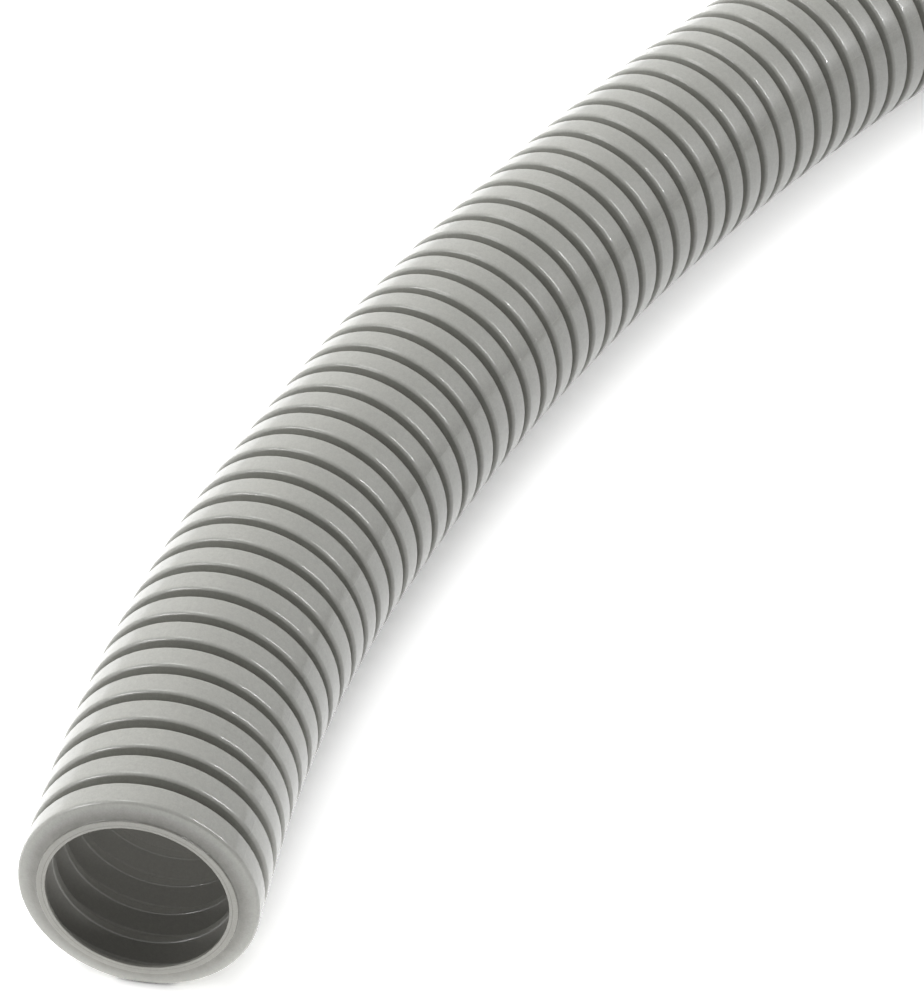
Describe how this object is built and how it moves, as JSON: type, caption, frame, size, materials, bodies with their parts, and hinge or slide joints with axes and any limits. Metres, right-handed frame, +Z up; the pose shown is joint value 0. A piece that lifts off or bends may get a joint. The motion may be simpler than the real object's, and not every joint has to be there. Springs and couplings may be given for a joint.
{
  "type": "corrugated conduit",
  "caption": "Length of corrugated plastic conduit in a gentle bend; it guides and protects cables, and its ribs let it flex.",
  "frame": {"origin": "on the floor under the middle of the part's bounding box", "axes": "+X along the chord from the near (left) cut end to the far cut end, +Y towards the outside of the bend, +Z up from the floor the conduit lies on"},
  "size_m": [0.8582, 0.255, 0.032],
  "materials": {
    "grey_plastic": "satin"
  },
  "bodies": {
    "root": {"conduit": "grey_plastic"}
  },
  "joints": []
}
